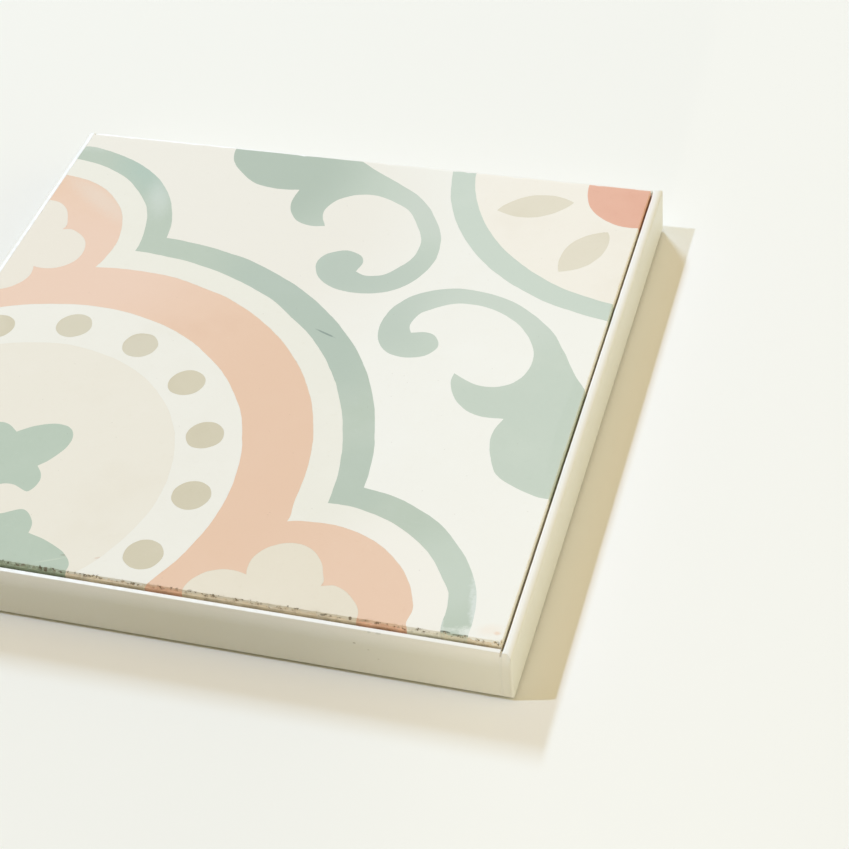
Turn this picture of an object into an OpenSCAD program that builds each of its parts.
// Square cement-tile trivet in a white steel angle frame.
// The tile is pressed from coloured cement pastes that are poured side by side
// into a divider mould, so each field of the pattern is an inlay of its own in
// the face layer, lying on a fine mortar layer and a coarse backing layer.
// Origin: centre of the frame, on the table. X runs along the front bar, Y away
// from the front, Z up. The tile's "home" corner is front left, where the big
// medallion is centred, and the small rosette sits in the corner across from it.
// The pattern has to meet the next tile's at the edges, so its drawing is fitted to
// the tile's side as a whole: the pattern's sizes are true sizes on a 200 mm tile.

/* [Tile] */
// Side of the square tile
tile_side = 200; // [150:1:250]
// Thickness of the whole tile
tile_t = 14; // [12:0.5:20]
// Thickness of the coloured face layer
face_t = 3; // [2:0.5:4]
// Thickness of the fine mortar layer under the face
middle_t = 3; // [2:0.5:4]
// Chamfer worn along the top edges of the tile
edge_wear = 0.8; // [0.3:0.1:1.5]
// Bevel that the mould leaves along the lower edges of the tile
back_bevel = 1.2; // [0.5:0.1:2]

/* [Frame] */
// Height of the upright leg of the steel angle
bar_h = 16; // [12:0.5:20]
// Width of the flat leg of the steel angle, from its outer face
leg_w = 16; // [12:0.5:25]
// Thickness of both legs
bar_t = 3; // [2:0.1:4]
// Rounding of the angle's edges
bar_edge_r = 0.5; // [0.2:0.1:0.8]
// Width of the flat top of a wall, from its inner side to its rolled outer edge
rim_flat = 1.5; // [1:0.1:1.9]
// Radius of the roll from the flat top down to the outer side
roll_r = 7; // [4:0.5:12]
// Rounding of the frame's four upright corners
frame_corner_r = 1.2; // [0.5:0.1:2.5]
// Open gap round the tile, between its side and the frame
tile_gap = 0.5; // [0.2:0.1:2]
// Gap between the bar ends, which the weld fills
joint_gap = 0.5; // [0.3:0.1:1]
// Depth of the notch that the weld leaves open at the top of a joint
notch_depth = 1; // [0.5:0.5:5]
// Width of the weld bead under the flat legs
bead_w = 3; // [2:0.1:4]
// Height of the weld bead under the flat legs
bead_crown = 0.4; // [0.2:0.05:0.7]

/* [Bonding and feet] */
// Thickness of the adhesive between a flat leg and the tile
glue_t = 0.2; // [0.2:0.05:0.6]
// Width of an adhesive bead
glue_w = 6; // [4:0.5:9]
// Distance of an adhesive bead's end from the inner corner of the flat legs
glue_end_gap = 12.5; // [5:0.5:30]
// Diameter of a foot pad
foot_d = 12; // [8:0.5:12]
// Thickness of a foot pad
foot_t = 1; // [0.8:0.1:3]
// Distance of a foot pad's edge from the seam at the bar's end
foot_inset = 2.5; // [1:0.5:20]

/* [Medallion] */
// Radius of the cream disc
disc_r = 55.2; // [45:0.1:65]
// How far the disc's circle reaches past the home corner
disc_past = 5; // [3:0.1:8]
// Width of the ring that holds the dots, on the diagonal
dot_ring_w = 20.2; // [17:0.1:24]
// Width of the blush band, on the diagonal
blush_w = 21.7; // [15:0.1:25]
// Width of the ivory band, on the diagonal
ivory_w = 8.3; // [5:0.1:12]
// Width of the green band, on the diagonal
green_w = 10; // [6:0.1:13]
// How much further in from both home edges the dot ring's centre lies than the disc's
dot_ring_shift = 2.2; // [0:0.1:4]
// The same for the blush band's centre
blush_shift = 7.2; // [5:0.1:9]
// The same for the ivory band's centre
ivory_shift = 4.4; // [3:0.1:6]
// The same for the green band's centre
green_shift = 7.6; // [6:0.1:9]
// Diameter of a dot
dot_d = 11.4; // [6:0.1:13]
// Distance of the dots' middles from the disc's edge
dot_off = 8.9; // [7:0.1:10]

/* [Side lobes] */
// Radius of the blush lobe
blush_lobe_r = 34.7; // [30:0.1:38]
// How much larger the ivory lobe's radius is
ivory_lobe_w = 7.9; // [5:0.1:10]
// How much larger again the green lobe's radius is
green_lobe_w = 5.9; // [4:0.1:8]
// Distance along the edge from the cloud's middle to the blush lobe's centre
blush_lobe_off = 5.1; // [3:0.1:7]
// Distance along the edge from the cloud's middle to the ivory lobe's centre
ivory_lobe_off = 6.2; // [4:0.1:8]
// Distance along the edge from the cloud's middle to the green lobe's centre
green_lobe_off = 7.7; // [6:0.1:10]
// How far the blush and ivory lobes' centres lie outside the tile
lobe_past = 2.1; // [0:0.1:4]
// Distance along the edge from the green lobe to the tile's next corner
lobe_to_corner = 8.3; // [6:0.1:15]

/* [Clouds] */
// Distance along the edge from the dot ring to a cloud's middle
cloud_off = 36.1; // [32:0.1:42]
// Radius of a cloud's top bump
cloud_top_r = 10.4; // [8:0.1:12]
// Distance of the top bump's centre from the edge
cloud_top_up = 13.1; // [11:0.1:14]
// Radius of a cloud's two side bumps
cloud_side_r = 10.6; // [8:0.1:12]
// Distance of a side bump's centre from the cloud's middle
cloud_side_off = 14; // [11:0.1:15]
// Radius of the round middle that joins the bumps
cloud_heart_r = 8; // [6:0.1:10]

/* [Flower] */
// What the leaves' reach lacks of the disc's reach along the tile's edge
flower_gap = 0.8; // [0.5:0.1:8]
// Radius of the round eyes between the leaves
eye_r = 6.2; // [4:0.1:7]
// Radius of the flower's heart at the home corner
flower_heart_r = 20; // [10:0.1:28]

/* [Rosette] */
// Radius of the coral quarter in the far corner
rosette_heart_r = 18.8; // [12:0.1:22]
// Distance of the coral quarter's centre from the two far edges
rosette_heart_inset = 1.9; // [0:0.1:4]
// Reach of the cream field from the far corner, on the diagonal
rosette_field_reach = 55.7; // [52:0.1:60]
// How far the cream field's centre lies outside the two far edges
rosette_field_past = 11.6; // [8:0.1:14]
// Width of the green ring round the field, on the diagonal
rosette_ring_w = 8.7; // [5:0.1:10]
// How far the green ring's centre lies outside the two far edges
rosette_ring_past = 8.5; // [6:0.1:11]
// Gap between the coral quarter and a petal's inner tip
petal_heart_gap = 4.5; // [2:0.1:8]
// Gap between a petal's outer tip and the green ring
petal_ring_gap = 5.7; // [3:0.1:9]
// Width of a petal
petal_w = 11.8; // [6:0.1:14]

/* [Scrolls] */
// Least distance along the tile's edge from the rosette's ring to a scroll's back
scroll_gap = 32; // [20:0.5:40]

/* [Hidden] */
$fn = 96;

// Heights, from the table up
leg_z = foot_t;
leg_top_z = leg_z + bar_t;
tile_z = leg_top_z + glue_t;
tile_top_z = tile_z + tile_t;
face_z = tile_top_z - face_t;
middle_z = face_z - middle_t;
rim_z = leg_z + bar_h;

// Plan sizes
half_tile = tile_side / 2;
inner_half = half_tile + tile_gap;
outer_half = inner_half + bar_t;
leg_inner_half = outer_half - leg_w;
cope_half = leg_inner_half - joint_gap;
// Cuts run past what they cut by this much
overrun = bar_t / 4;
// How far down the outer side the roll reaches
roll_drop = sqrt(roll_r * roll_r - pow(roll_r - bar_t + rim_flat, 2));

// Colours, as they show in daylight
ivory = [0.95, 0.94, 0.89];
cream = [0.92, 0.89, 0.81];
sand = [0.83, 0.79, 0.70];
green = [0.70, 0.77, 0.71];
blush = [0.92, 0.79, 0.69];
coral = [0.89, 0.62, 0.52];
mortar = [0.72, 0.69, 0.63];
coarse_mortar = [0.62, 0.60, 0.56];
painted_white = [0.94, 0.94, 0.91];
silicone = [0.85, 0.85, 0.82];
pad_grey = [0.60, 0.60, 0.58];

// The dots stand a sixteenth of a turn apart round the disc
dot_angle = 22.5;
dot_count = 7;
petal_angle = 22.5;

// A scroll is drawn as large as the drawing's side, or smaller where the green band
// leaves less room: it needs this share of its size between the edge and the band
scroll_room_share = 0.31;

// One scroll's outline, as smooth runs that meet in corners. Points are shares
// of the scroll's size, measured from where the scroll's back meets the tile's
// edge. The back scroll is the mirror image of this one about the diagonal.
scroll_back_edge_shares = [
    [0.020, -0.034], [0.000, 0.001], [-0.025, 0.037], [-0.051, 0.082],
    [-0.075, 0.118], [-0.100, 0.144], [-0.125, 0.163], [-0.155, 0.180],
    [-0.190, 0.192], [-0.235, 0.197], [-0.275, 0.189], [-0.310, 0.169],
    [-0.335, 0.136], [-0.343, 0.095], [-0.337, 0.056], [-0.315, 0.027],
    [-0.283, 0.016], [-0.255, 0.026], [-0.241, 0.052], [-0.250, 0.076],
    [-0.268, 0.085], [-0.291, 0.080]
];
scroll_inner_edge_shares = [
    [-0.291, 0.080], [-0.298, 0.098], [-0.291, 0.124], [-0.272, 0.142],
    [-0.245, 0.159], [-0.215, 0.163], [-0.182, 0.157], [-0.150, 0.140],
    [-0.122, 0.119], [-0.101, 0.085], [-0.091, 0.050], [-0.096, 0.016],
    [-0.113, -0.008], [-0.139, -0.020], [-0.166, -0.017], [-0.194, -0.003]
];
scroll_leaf_edge_shares = [
    [-0.194, -0.003], [-0.195, -0.025], [-0.183, -0.054], [-0.160, -0.074],
    [-0.132, -0.083], [-0.100, -0.082]
];
scroll_tail_edge_shares = [
    [-0.100, -0.082], [-0.106, -0.118], [-0.099, -0.159], [-0.076, -0.195],
    [-0.048, -0.217], [-0.015, -0.229], [0.020, -0.230]
];

// Half of the flower's outline, from the leaf along the front edge to the leaf
// on the diagonal. Points are shares of the leaves' reach from the home corner.
edge_leaf_shares = [
    [0.980, 0.000], [0.980, 0.042], [0.946, 0.086], [0.900, 0.116],
    [0.838, 0.140], [0.768, 0.156]
];
edge_curl_shares = [
    [0.768, 0.156], [0.764, 0.196], [0.740, 0.236], [0.708, 0.264],
    [0.682, 0.264], [0.638, 0.240]
];
corner_curl_shares = [
    [0.629, 0.375], [0.672, 0.358], [0.692, 0.388], [0.696, 0.428],
    [0.682, 0.464], [0.656, 0.496]
];
corner_leaf_shares = [
    [0.656, 0.496], [0.688, 0.534], [0.716, 0.586], [0.728, 0.640],
    [0.724, 0.680], [0.707, 0.707]
];
eye_shares = [0.590, 0.304];

// Points a spline takes between two neighbours of a table
curve_steps = 4;

// Distances of the rings' centres from the two home edges
disc_inset = (disc_r - disc_past) / sqrt(2);
dot_ring_inset = disc_inset + dot_ring_shift;
blush_inset = disc_inset + blush_shift;
ivory_inset = disc_inset + ivory_shift;
green_inset = disc_inset + green_shift;

// Reaches of the rings from the home corner, on the diagonal
disc_reach = disc_inset * sqrt(2) + disc_r;
dot_ring_reach = disc_reach + dot_ring_w;
blush_reach = dot_ring_reach + blush_w;
ivory_reach = blush_reach + ivory_w;
green_reach = ivory_reach + green_w;

// Radii of the lobes, and places of what lies along the home edges
ivory_lobe_r = blush_lobe_r + ivory_lobe_w;
green_lobe_r = ivory_lobe_r + green_lobe_w;
cloud_at = edge_reach(dot_ring_reach, dot_ring_inset) + cloud_off;
blush_lobe_at = cloud_at + blush_lobe_off;
ivory_lobe_at = cloud_at + ivory_lobe_off;
green_lobe_at = cloud_at + green_lobe_off;

// The drawing's own side, which is fitted to the tile's side
drawing_side = green_lobe_at + green_lobe_r + lobe_to_corner;
half_drawing = drawing_side / 2;

// Radii and reaches in the rosette's corner
rosette_field_r = rosette_field_reach + rosette_field_past * sqrt(2);
rosette_ring_r = rosette_field_reach + rosette_ring_w + rosette_ring_past * sqrt(2);
petal_inner = corner_reach(rosette_heart_r, -rosette_heart_inset, petal_angle)
    + petal_heart_gap;
petal_outer = corner_reach(rosette_field_r, rosette_field_past, petal_angle)
    - petal_ring_gap;

// Reach of the flower's leaves. A scroll's back meets the tile's edge at its middle,
// or further from the far corner where the rosette's ring needs the room.
flower_r = edge_reach(disc_reach, disc_inset) - flower_gap;
ring_edge = corner_reach(rosette_ring_r, rosette_ring_past, 0);
scroll_at = max(half_drawing, ring_edge + scroll_gap);
green_r = green_reach - green_inset * sqrt(2);
band_to_edge = norm([drawing_side - green_inset, drawing_side - scroll_at - green_inset])
    - green_r;
scroll_size = min(drawing_side, band_to_edge / scroll_room_share);

// How far a ring reaches along the tile's edge from the home corner
function edge_reach(reach, inset) =
    let (r = reach - inset * sqrt(2))
    inset + sqrt(r * r - inset * inset);

// How far a circle reaches from the far corner, in a direction that is turned
// from the edge, where its centre lies past the two far edges
function corner_reach(r, past, turn) =
    let (along = past * (cos(turn) + sin(turn)))
    sqrt(r * r + along * along - 2 * past * past) - along;

// Smooth curves through points

function on_curve(a, b, c, d, t) =
    b + ((c - a) * t + (2 * a - 5 * b + 4 * c - d) * t * t
    + (3 * b - a - 3 * c + d) * t * t * t) / 2;

function smooth_run(pts) =
    let (last = len(pts) - 1)
    [for (i = [0 : last - 1]) for (s = [0 : curve_steps - 1])
        on_curve(
            pts[max(i - 1, 0)], pts[i], pts[i + 1], pts[min(i + 2, last)],
            s / curve_steps
        )
    ];

function swapped(pts) = [for (i = [len(pts) - 1 : -1 : 0]) [pts[i][1], pts[i][0]]];

// Plan shapes of the drawing, with its middle at the origin

// Places its children by distances from the home corner
module from_home(along, in) {
    translate([along - half_drawing, in - half_drawing]) children();
}

// Places its children by distances from the far corner
module from_far(inset) {
    translate([half_drawing - inset, half_drawing - inset]) children();
}

// Draws its children and their mirror image about the tile's diagonal
module both_sides() {
    children();
    mirror([1, -1]) children();
}

module medallion_circle(reach, inset) {
    from_home(inset, inset) circle(r = reach - inset * sqrt(2));
}

module disc_shape() {
    medallion_circle(disc_reach, disc_inset);
}

module dot_ring_shape() {
    disc_shape();
    medallion_circle(dot_ring_reach, dot_ring_inset);
}

module blush_shape() {
    dot_ring_shape();
    medallion_circle(blush_reach, blush_inset);
    both_sides() from_home(blush_lobe_at, -lobe_past) circle(r = blush_lobe_r);
}

module ivory_shape() {
    blush_shape();
    medallion_circle(ivory_reach, ivory_inset);
    both_sides() from_home(ivory_lobe_at, -lobe_past) circle(r = ivory_lobe_r);
}

module green_shape() {
    ivory_shape();
    medallion_circle(green_reach, green_inset);
    both_sides() from_home(green_lobe_at, 0) circle(r = green_lobe_r);
}

module cloud_shape() {
    from_home(cloud_at, 0) {
        translate([0, cloud_top_up]) circle(r = cloud_top_r);
        translate([-cloud_side_off, 0]) circle(r = cloud_side_r);
        translate([cloud_side_off, 0]) circle(r = cloud_side_r);
        circle(r = cloud_heart_r);
    }
}

module dot_shape(index) {
    turn = 45 + (index - (dot_count + 1) / 2) * dot_angle;
    from_home(disc_inset, disc_inset)
        rotate(turn) translate([disc_r + dot_off, 0]) circle(d = dot_d);
}

module flower_heart_shape() {
    from_home(0, 0) circle(r = flower_heart_r);
}

module flower_shape() {
    half_outline = concat(
        smooth_run(edge_leaf_shares), smooth_run(edge_curl_shares),
        [edge_curl_shares[len(edge_curl_shares) - 1], eye_shares],
        smooth_run(corner_curl_shares), smooth_run(corner_leaf_shares)
    );
    tip = corner_leaf_shares[len(corner_leaf_shares) - 1];
    outline = concat([[0, 0]], half_outline, [tip], swapped(half_outline));
    intersection() {
        disc_shape();
        from_home(0, 0) difference() {
            polygon(outline * flower_r);
            both_sides() translate(eye_shares * flower_r) circle(r = eye_r);
        }
    }
}

module scroll_shape() {
    outline = concat(
        smooth_run(scroll_back_edge_shares), smooth_run(scroll_inner_edge_shares),
        smooth_run(scroll_leaf_edge_shares), smooth_run(scroll_tail_edge_shares),
        [scroll_tail_edge_shares[len(scroll_tail_edge_shares) - 1]]
    );
    translate([half_drawing, half_drawing - scroll_at]) polygon(outline * scroll_size);
}

module rosette_field_shape() {
    from_far(-rosette_field_past) circle(r = rosette_field_r);
}

module rosette_ring_shape() {
    rosette_field_shape();
    from_far(-rosette_ring_past) circle(r = rosette_ring_r);
}

module rosette_heart_shape() {
    from_far(rosette_heart_inset) circle(r = rosette_heart_r);
}

// A pointed petal is where two equal circles cross
module petal_shape(turn) {
    half_len = (petal_outer - petal_inner) / 2;
    half_w = petal_w / 2;
    petal_r = (half_len * half_len + half_w * half_w) / petal_w;
    from_far(0) rotate(turn) translate([petal_inner + half_len, 0]) intersection() {
        translate([0, petal_r - half_w]) circle(r = petal_r);
        translate([0, half_w - petal_r]) circle(r = petal_r);
    }
}

// Solids of the tile

module tile_square() {
    square(tile_side, center = true);
}

// What a chamfer takes off the left edge of the tile, from height zero upwards
module chamfer_bar(size) {
    translate([-half_tile, 0, 0]) rotate([90, 0, 0])
        linear_extrude(tile_side + 2 * overrun, center = true)
            polygon([
                [-overrun, -overrun],
                [size + overrun, -overrun],
                [-overrun, size + overrun]
            ]);
}

module four_sides() {
    for (side = [0 : 3]) rotate(side * 90) children();
}

// One inlay of the face layer: its part of the drawing, fitted to the tile, with
// worn edges
module inlay() {
    difference() {
        translate([0, 0, face_z]) linear_extrude(face_t) intersection() {
            tile_square();
            scale(tile_side / drawing_side) children();
        }
        translate([0, 0, tile_top_z]) mirror([0, 0, 1]) four_sides() chamfer_bar(edge_wear);
    }
}

module ground_field() {
    color(ivory) inlay() difference() {
        square(drawing_side + 2 * overrun, center = true);
        green_shape();
        rosette_ring_shape();
        scroll_shape();
        mirror([1, -1]) scroll_shape();
    }
}

module scroll() {
    color(green) inlay() difference() {
        children();
        green_shape();
        rosette_ring_shape();
    }
}

module scroll_right() {
    scroll() scroll_shape();
}

module scroll_back() {
    scroll() mirror([1, -1]) scroll_shape();
}

module green_band() {
    color(green) inlay() difference() {
        green_shape();
        ivory_shape();
    }
}

module ivory_band() {
    color(ivory) inlay() difference() {
        ivory_shape();
        blush_shape();
    }
}

module blush_band() {
    color(blush) inlay() difference() {
        blush_shape();
        dot_ring_shape();
        both_sides() cloud_shape();
    }
}

module cloud() {
    color(cream) inlay() difference() {
        children();
        dot_ring_shape();
    }
}

module cloud_front() {
    cloud() cloud_shape();
}

module cloud_left() {
    cloud() mirror([1, -1]) cloud_shape();
}

module dot_ring() {
    color(ivory) inlay() difference() {
        dot_ring_shape();
        disc_shape();
        for (index = [1 : dot_count]) dot_shape(index);
    }
}

module dot(index) {
    color(sand) inlay() dot_shape(index);
}

module centre_disc() {
    color(cream) inlay() difference() {
        disc_shape();
        flower_shape();
        flower_heart_shape();
    }
}

module flower_leaves() {
    color(green) inlay() difference() {
        flower_shape();
        flower_heart_shape();
    }
}

module flower_heart() {
    color(coral) inlay() flower_heart_shape();
}

module rosette_heart() {
    color(coral) inlay() rosette_heart_shape();
}

module rosette_field() {
    color(cream) inlay() difference() {
        rosette_field_shape();
        rosette_heart_shape();
        petal_shape(180 + petal_angle);
        petal_shape(270 - petal_angle);
    }
}

module rosette_petal_back() {
    color(sand) inlay() petal_shape(180 + petal_angle);
}

module rosette_petal_right() {
    color(sand) inlay() petal_shape(270 - petal_angle);
}

module rosette_ring() {
    color(green) inlay() difference() {
        rosette_ring_shape();
        rosette_field_shape();
    }
}

module tile_middle() {
    color(mortar) translate([0, 0, middle_z]) linear_extrude(middle_t) tile_square();
}

module tile_backing() {
    color(coarse_mortar) translate([0, 0, tile_z]) difference() {
        linear_extrude(middle_z - tile_z) tile_square();
        four_sides() chamfer_bar(back_bevel);
    }
}

// Steel frame

// The angle's section: upright leg at the left, flat leg to the right, rounded
// outer edges. Drawn with the outer lower corner at the origin.
module angle_section() {
    difference() {
        square([leg_w, bar_h]);
        translate([bar_t, bar_t]) square([leg_w, bar_h]);
        outer_edges();
        edge_round([bar_t, bar_h], 180);
        edge_round([leg_w, 0], 90);
        edge_round([leg_w, bar_t], 180);
    }
}

// What a rounded corner lacks of a sharp one
module edge_round(corner, turn) {
    translate(corner) rotate(turn) difference() {
        translate([-overrun, -overrun]) square(bar_edge_r + overrun);
        translate([bar_edge_r, bar_edge_r]) circle(r = bar_edge_r);
    }
}

// What the outer side lacks of a sharp-edged one: the rounding of the heel, and the
// roll at the top, which runs smoothly into the side and meets the flat top at an edge
module outer_edges() {
    edge_round([0, 0], 0);
    difference() {
        translate([-overrun, bar_h - roll_drop])
            square([overrun + bar_t - rim_flat, roll_drop + overrun]);
        translate([roll_r, bar_h - roll_drop]) circle(r = roll_r);
    }
}

// An angle bar along Y, its outer face to the left
module angle_bar(length) {
    translate([-outer_half, 0, leg_z]) rotate([90, 0, 0])
        linear_extrude(length, center = true) angle_section();
}

// Everything inside the frame's outline, which has rounded upright corners
module frame_outline() {
    straight = 2 * (outer_half - frame_corner_r);
    linear_extrude(rim_z + overrun) {
        square([2 * outer_half, straight], center = true);
        square([straight, 2 * outer_half], center = true);
        for (x = [-1, 1]) for (y = [-1, 1])
            translate([x, y] * straight / 2) circle(r = frame_corner_r);
    }
}

// Everything inside the frame as seen from the side, with the cross bars' outer edges
module frame_profile() {
    rotate([90, 0, 90]) linear_extrude(2 * outer_half + 2 * overrun, center = true)
        translate([0, leg_z]) difference() {
            translate([-outer_half, 0]) square([2 * outer_half, bar_h]);
            for (end = [0, 1]) mirror([end, 0])
                translate([-outer_half, 0]) outer_edges();
        }
}

// A side bar runs the whole depth; its flat leg stops short of the cross bars, and
// its ends are dressed to the same edges as the cross bars' outer sides
module side_bar() {
    intersection() {
        difference() {
            angle_bar(2 * outer_half);
            for (end = [0, 1])
                mirror([0, end, 0])
                    translate([-inner_half, inner_half - joint_gap, leg_z - overrun])
                        cube([leg_w, bar_t + joint_gap + overrun, bar_t + 2 * overrun]);
        }
        frame_outline();
        frame_profile();
    }
}

// A cross bar fits between the side bars; its flat leg is coped to clear theirs
module cross_bar() {
    difference() {
        angle_bar(2 * (inner_half - joint_gap));
        for (end = [0, 1])
            mirror([0, end, 0])
                translate([-inner_half, cope_half, leg_z - overrun])
                    cube([leg_w, inner_half - cope_half, bar_t + 2 * overrun]);
    }
}

module left_bar() {
    color(painted_white) side_bar();
}

module right_bar() {
    color(painted_white) rotate(180) side_bar();
}

module front_bar() {
    color(painted_white) rotate(90) cross_bar();
}

module back_bar() {
    color(painted_white) rotate(270) cross_bar();
}

// The weld of the front left corner: it fills the upright joint up to the notch
// and the two seams between the flat legs, and stands proud below the seams
module corner_weld() {
    seam_len = inner_half - leg_inner_half;
    color(painted_white) {
        translate([-inner_half, -outer_half, leg_z]) rotate([90, 0, 90])
            linear_extrude(joint_gap) intersection() {
                angle_section();
                square([bar_t, bar_h - notch_depth]);
            }
        translate([-inner_half, -inner_half, leg_z])
            cube([seam_len + joint_gap, joint_gap, bar_t]);
        translate([-leg_inner_half, -inner_half, leg_z])
            cube([joint_gap, seam_len, bar_t]);
        translate([-inner_half, joint_gap / 2 - inner_half, leg_z])
            rotate([90, 0, 90]) weld_bead(seam_len);
        translate([joint_gap / 2 - leg_inner_half, -inner_half, leg_z])
            rotate([90, 0, 180]) weld_bead(seam_len);
    }
}

// A weld bead below a seam, with a flat top and a round crown
module weld_bead(length) {
    bead_r = (bead_w * bead_w / 4 + bead_crown * bead_crown) / (2 * bead_crown);
    linear_extrude(length) intersection() {
        translate([0, bead_r - bead_crown]) circle(r = bead_r);
        translate([-bead_w / 2, -bead_crown]) square([bead_w, bead_crown]);
    }
}

module weld_front_left() {
    corner_weld();
}

module weld_front_right() {
    mirror([1, 0, 0]) corner_weld();
}

module weld_back_left() {
    mirror([0, 1, 0]) corner_weld();
}

module weld_back_right() {
    rotate(180) corner_weld();
}

// Adhesive and feet

// A flattened bead of adhesive on the left bar's flat leg
module glue_bead() {
    seat_mid = (inner_half + leg_inner_half) / 2;
    straight = 2 * (leg_inner_half - glue_end_gap) - glue_w;
    color(silicone) translate([-seat_mid, 0, leg_top_z]) linear_extrude(glue_t) {
        square([glue_w, straight], center = true);
        for (end = [-1, 1])
            translate([0, end * straight / 2]) circle(d = glue_w);
    }
}

module glue_left() {
    glue_bead();
}

module glue_right() {
    rotate(180) glue_bead();
}

module glue_front() {
    rotate(90) glue_bead();
}

module glue_back() {
    rotate(270) glue_bead();
}

// A round pad under a side bar's flat leg, clear of the weld at its end
module foot(x_side, y_side) {
    from_middle_x = outer_half - leg_w / 2;
    from_middle_y = leg_inner_half - foot_inset - foot_d / 2;
    color(pad_grey) translate([x_side * from_middle_x, y_side * from_middle_y, 0])
        cylinder(h = foot_t, d = foot_d);
}

ground_field();
scroll_back();
scroll_right();
green_band();
ivory_band();
blush_band();
cloud_left();
cloud_front();
dot_ring();
dot(1);  // dot_1
dot(2);  // dot_2
dot(3);  // dot_3
dot(4);  // dot_4
dot(5);  // dot_5
dot(6);  // dot_6
dot(7);  // dot_7
centre_disc();
flower_leaves();
flower_heart();
rosette_heart();
rosette_field();
rosette_petal_back();
rosette_petal_right();
rosette_ring();
tile_middle();
tile_backing();
left_bar();
right_bar();
front_bar();
back_bar();
weld_front_left();
weld_front_right();
weld_back_left();
weld_back_right();
glue_left();
glue_right();
glue_front();
glue_back();
foot(-1, -1);  // foot_front_left
foot(1, -1);  // foot_front_right
foot(-1, 1);  // foot_back_left
foot(1, 1);  // foot_back_right
